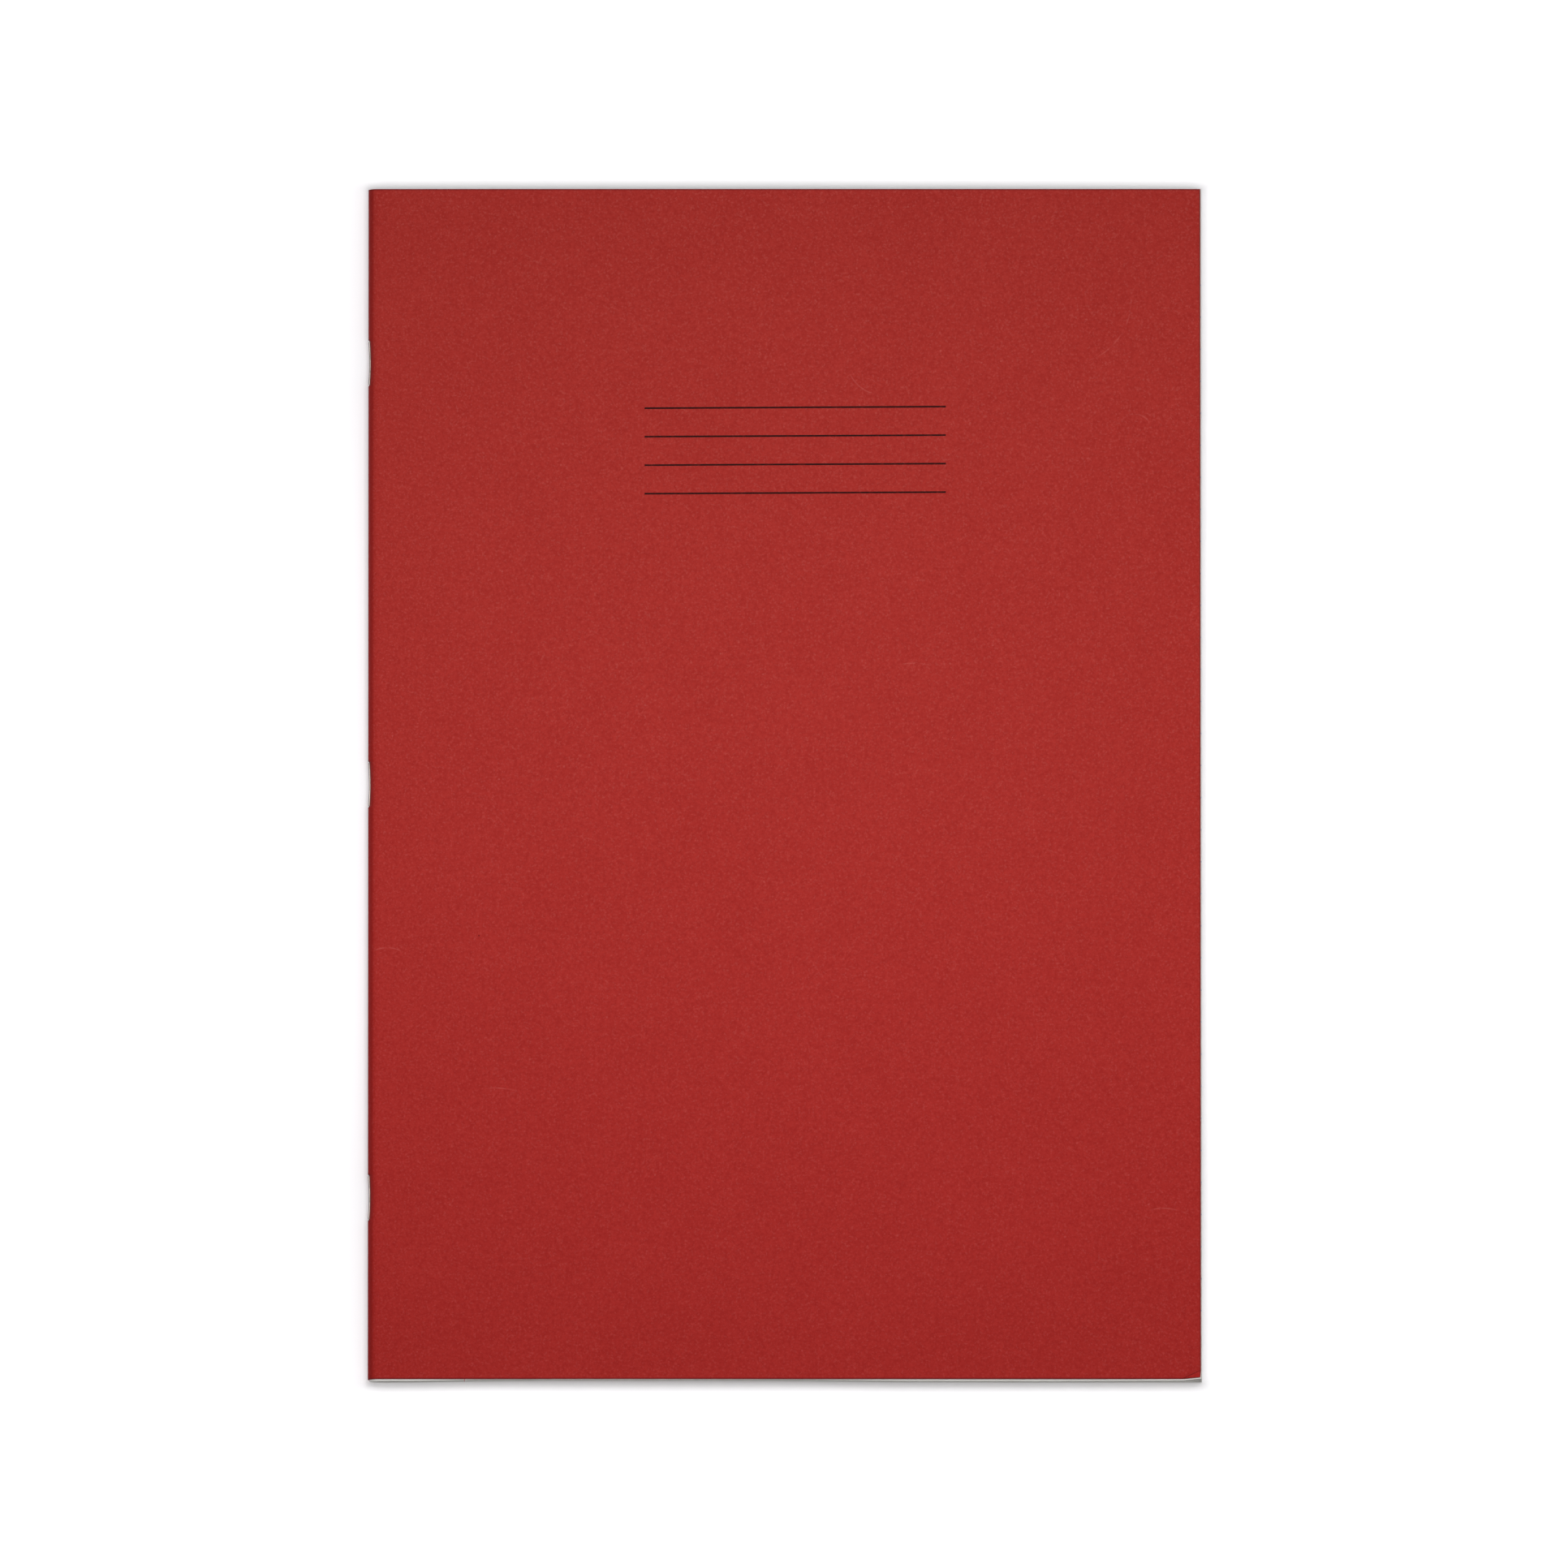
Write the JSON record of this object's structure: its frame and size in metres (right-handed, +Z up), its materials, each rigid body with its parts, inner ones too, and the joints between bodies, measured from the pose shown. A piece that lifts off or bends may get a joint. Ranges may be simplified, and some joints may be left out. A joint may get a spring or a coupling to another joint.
{
  "type": "stapled exercise book",
  "caption": "Closed exercise book: a folded red card cover round nested folded sheets, held by wire staples through the spine; the cover and each leaf turn about the crease.",
  "frame": {"origin": "middle of the underside of the closed book, on the surface that it lies on", "axes": "+X from the spine to the fore edge, +Y from the tail to the head, +Z up through the front cover"},
  "size_m": [0.2064, 0.297, 0.0049],
  "materials": {
    "cover_card": "matte uncoated red card",
    "paper": "matte writing paper",
    "staple_wire": "drawn zinc-plated wire"
  },
  "bodies": {
    "back_cover": {"back_cover": "cover_card"},
    "sheet_01_back_leaf": {"sheet_01_back_leaf": "paper"},
    "sheet_02_back_leaf": {"sheet_02_back_leaf": "paper"},
    "sheet_03_back_leaf": {"sheet_03_back_leaf": "paper"},
    "sheet_04_back_leaf": {"sheet_04_back_leaf": "paper"},
    "sheet_05_back_leaf": {"sheet_05_back_leaf": "paper"},
    "sheet_06_back_leaf": {"sheet_06_back_leaf": "paper"},
    "sheet_07_back_leaf": {"sheet_07_back_leaf": "paper"},
    "sheet_08_back_leaf": {"sheet_08_back_leaf": "paper"},
    "sheet_09_back_leaf": {"sheet_09_back_leaf": "paper"},
    "sheet_10_back_leaf": {"sheet_10_back_leaf": "paper"},
    "sheet_11_back_leaf": {"sheet_11_back_leaf": "paper"},
    "sheet_12_back_leaf": {"sheet_12_back_leaf": "paper"},
    "sheet_13_back_leaf": {"sheet_13_back_leaf": "paper"},
    "sheet_14_back_leaf": {"sheet_14_back_leaf": "paper"},
    "sheet_15_back_leaf": {"sheet_15_back_leaf": "paper"},
    "sheet_16_back_leaf": {"sheet_16_back_leaf": "paper", "staple_head": "staple_wire", "staple_middle": "staple_wire", "staple_tail": "staple_wire"},
    "sheet_16_front_leaf": {"sheet_16_front_leaf": "paper"},
    "sheet_15_front_leaf": {"sheet_15_front_leaf": "paper"},
    "sheet_14_front_leaf": {"sheet_14_front_leaf": "paper"},
    "sheet_13_front_leaf": {"sheet_13_front_leaf": "paper"},
    "sheet_12_front_leaf": {"sheet_12_front_leaf": "paper"},
    "sheet_11_front_leaf": {"sheet_11_front_leaf": "paper"},
    "sheet_10_front_leaf": {"sheet_10_front_leaf": "paper"},
    "sheet_09_front_leaf": {"sheet_09_front_leaf": "paper"},
    "sheet_08_front_leaf": {"sheet_08_front_leaf": "paper"},
    "sheet_07_front_leaf": {"sheet_07_front_leaf": "paper"},
    "sheet_06_front_leaf": {"sheet_06_front_leaf": "paper"},
    "sheet_05_front_leaf": {"sheet_05_front_leaf": "paper"},
    "sheet_04_front_leaf": {"sheet_04_front_leaf": "paper"},
    "sheet_03_front_leaf": {"sheet_03_front_leaf": "paper"},
    "sheet_02_front_leaf": {"sheet_02_front_leaf": "paper"},
    "sheet_01_front_leaf": {"sheet_01_front_leaf": "paper"},
    "front_cover": {"front_cover": "cover_card"}
  },
  "joints": [
    {"name": "front_cover_turn", "type": "hinge", "parent": "sheet_01_front_leaf", "child": "front_cover", "pos_m": [-0.10327, 0, 0.00244], "axis": [0, -1, 0], "range_deg": [0, 180]},
    {"name": "sheet_01_front_leaf_turn", "type": "hinge", "parent": "sheet_02_front_leaf", "child": "sheet_01_front_leaf", "pos_m": [-0.10327, 0, 0.00244], "axis": [0, -1, 0], "range_deg": [0, 180]},
    {"name": "sheet_02_front_leaf_turn", "type": "hinge", "parent": "sheet_03_front_leaf", "child": "sheet_02_front_leaf", "pos_m": [-0.10327, 0, 0.00244], "axis": [0, -1, 0], "range_deg": [0, 180]},
    {"name": "sheet_03_front_leaf_turn", "type": "hinge", "parent": "sheet_04_front_leaf", "child": "sheet_03_front_leaf", "pos_m": [-0.10327, 0, 0.00244], "axis": [0, -1, 0], "range_deg": [0, 180]},
    {"name": "sheet_04_front_leaf_turn", "type": "hinge", "parent": "sheet_05_front_leaf", "child": "sheet_04_front_leaf", "pos_m": [-0.10327, 0, 0.00244], "axis": [0, -1, 0], "range_deg": [0, 180]},
    {"name": "sheet_05_front_leaf_turn", "type": "hinge", "parent": "sheet_06_front_leaf", "child": "sheet_05_front_leaf", "pos_m": [-0.10327, 0, 0.00244], "axis": [0, -1, 0], "range_deg": [0, 180]},
    {"name": "sheet_06_front_leaf_turn", "type": "hinge", "parent": "sheet_07_front_leaf", "child": "sheet_06_front_leaf", "pos_m": [-0.10327, 0, 0.00244], "axis": [0, -1, 0], "range_deg": [0, 180]},
    {"name": "sheet_07_front_leaf_turn", "type": "hinge", "parent": "sheet_08_front_leaf", "child": "sheet_07_front_leaf", "pos_m": [-0.10327, 0, 0.00244], "axis": [0, -1, 0], "range_deg": [0, 180]},
    {"name": "sheet_08_front_leaf_turn", "type": "hinge", "parent": "sheet_09_front_leaf", "child": "sheet_08_front_leaf", "pos_m": [-0.10327, 0, 0.00244], "axis": [0, -1, 0], "range_deg": [0, 180]},
    {"name": "sheet_09_front_leaf_turn", "type": "hinge", "parent": "sheet_10_front_leaf", "child": "sheet_09_front_leaf", "pos_m": [-0.10327, 0, 0.00244], "axis": [0, -1, 0], "range_deg": [0, 180]},
    {"name": "sheet_10_front_leaf_turn", "type": "hinge", "parent": "sheet_11_front_leaf", "child": "sheet_10_front_leaf", "pos_m": [-0.10327, 0, 0.00244], "axis": [0, -1, 0], "range_deg": [0, 180]},
    {"name": "sheet_11_front_leaf_turn", "type": "hinge", "parent": "sheet_12_front_leaf", "child": "sheet_11_front_leaf", "pos_m": [-0.10327, 0, 0.00244], "axis": [0, -1, 0], "range_deg": [0, 180]},
    {"name": "sheet_12_front_leaf_turn", "type": "hinge", "parent": "sheet_13_front_leaf", "child": "sheet_12_front_leaf", "pos_m": [-0.10327, 0, 0.00244], "axis": [0, -1, 0], "range_deg": [0, 180]},
    {"name": "sheet_13_front_leaf_turn", "type": "hinge", "parent": "sheet_14_front_leaf", "child": "sheet_13_front_leaf", "pos_m": [-0.10327, 0, 0.00244], "axis": [0, -1, 0], "range_deg": [0, 180]},
    {"name": "sheet_14_front_leaf_turn", "type": "hinge", "parent": "sheet_15_front_leaf", "child": "sheet_14_front_leaf", "pos_m": [-0.10327, 0, 0.00244], "axis": [0, -1, 0], "range_deg": [0, 180]},
    {"name": "sheet_15_front_leaf_turn", "type": "hinge", "parent": "sheet_16_front_leaf", "child": "sheet_15_front_leaf", "pos_m": [-0.10327, 0, 0.00244], "axis": [0, -1, 0], "range_deg": [0, 180]},
    {"name": "sheet_16_front_leaf_turn", "type": "hinge", "parent": "sheet_16_back_leaf", "child": "sheet_16_front_leaf", "pos_m": [-0.10327, 0, 0.00244], "axis": [0, -1, 0], "range_deg": [0, 180]},
    {"name": "sheet_16_back_leaf_turn", "type": "hinge", "parent": "sheet_15_back_leaf", "child": "sheet_16_back_leaf", "pos_m": [-0.10327, 0, 0.00244], "axis": [0, -1, 0], "range_deg": [0, 180]},
    {"name": "sheet_15_back_leaf_turn", "type": "hinge", "parent": "sheet_14_back_leaf", "child": "sheet_15_back_leaf", "pos_m": [-0.10327, 0, 0.00244], "axis": [0, -1, 0], "range_deg": [0, 180]},
    {"name": "sheet_14_back_leaf_turn", "type": "hinge", "parent": "sheet_13_back_leaf", "child": "sheet_14_back_leaf", "pos_m": [-0.10327, 0, 0.00244], "axis": [0, -1, 0], "range_deg": [0, 180]},
    {"name": "sheet_13_back_leaf_turn", "type": "hinge", "parent": "sheet_12_back_leaf", "child": "sheet_13_back_leaf", "pos_m": [-0.10327, 0, 0.00244], "axis": [0, -1, 0], "range_deg": [0, 180]},
    {"name": "sheet_12_back_leaf_turn", "type": "hinge", "parent": "sheet_11_back_leaf", "child": "sheet_12_back_leaf", "pos_m": [-0.10327, 0, 0.00244], "axis": [0, -1, 0], "range_deg": [0, 180]},
    {"name": "sheet_11_back_leaf_turn", "type": "hinge", "parent": "sheet_10_back_leaf", "child": "sheet_11_back_leaf", "pos_m": [-0.10327, 0, 0.00244], "axis": [0, -1, 0], "range_deg": [0, 180]},
    {"name": "sheet_10_back_leaf_turn", "type": "hinge", "parent": "sheet_09_back_leaf", "child": "sheet_10_back_leaf", "pos_m": [-0.10327, 0, 0.00244], "axis": [0, -1, 0], "range_deg": [0, 180]},
    {"name": "sheet_09_back_leaf_turn", "type": "hinge", "parent": "sheet_08_back_leaf", "child": "sheet_09_back_leaf", "pos_m": [-0.10327, 0, 0.00244], "axis": [0, -1, 0], "range_deg": [0, 180]},
    {"name": "sheet_08_back_leaf_turn", "type": "hinge", "parent": "sheet_07_back_leaf", "child": "sheet_08_back_leaf", "pos_m": [-0.10327, 0, 0.00244], "axis": [0, -1, 0], "range_deg": [0, 180]},
    {"name": "sheet_07_back_leaf_turn", "type": "hinge", "parent": "sheet_06_back_leaf", "child": "sheet_07_back_leaf", "pos_m": [-0.10327, 0, 0.00244], "axis": [0, -1, 0], "range_deg": [0, 180]},
    {"name": "sheet_06_back_leaf_turn", "type": "hinge", "parent": "sheet_05_back_leaf", "child": "sheet_06_back_leaf", "pos_m": [-0.10327, 0, 0.00244], "axis": [0, -1, 0], "range_deg": [0, 180]},
    {"name": "sheet_05_back_leaf_turn", "type": "hinge", "parent": "sheet_04_back_leaf", "child": "sheet_05_back_leaf", "pos_m": [-0.10327, 0, 0.00244], "axis": [0, -1, 0], "range_deg": [0, 180]},
    {"name": "sheet_04_back_leaf_turn", "type": "hinge", "parent": "sheet_03_back_leaf", "child": "sheet_04_back_leaf", "pos_m": [-0.10327, 0, 0.00244], "axis": [0, -1, 0], "range_deg": [0, 180]},
    {"name": "sheet_03_back_leaf_turn", "type": "hinge", "parent": "sheet_02_back_leaf", "child": "sheet_03_back_leaf", "pos_m": [-0.10327, 0, 0.00244], "axis": [0, -1, 0], "range_deg": [0, 180]},
    {"name": "sheet_02_back_leaf_turn", "type": "hinge", "parent": "sheet_01_back_leaf", "child": "sheet_02_back_leaf", "pos_m": [-0.10327, 0, 0.00244], "axis": [0, -1, 0], "range_deg": [0, 180]},
    {"name": "sheet_01_back_leaf_turn", "type": "hinge", "parent": "back_cover", "child": "sheet_01_back_leaf", "pos_m": [-0.10327, 0, 0.00244], "axis": [0, -1, 0], "range_deg": [0, 180]}
  ]
}
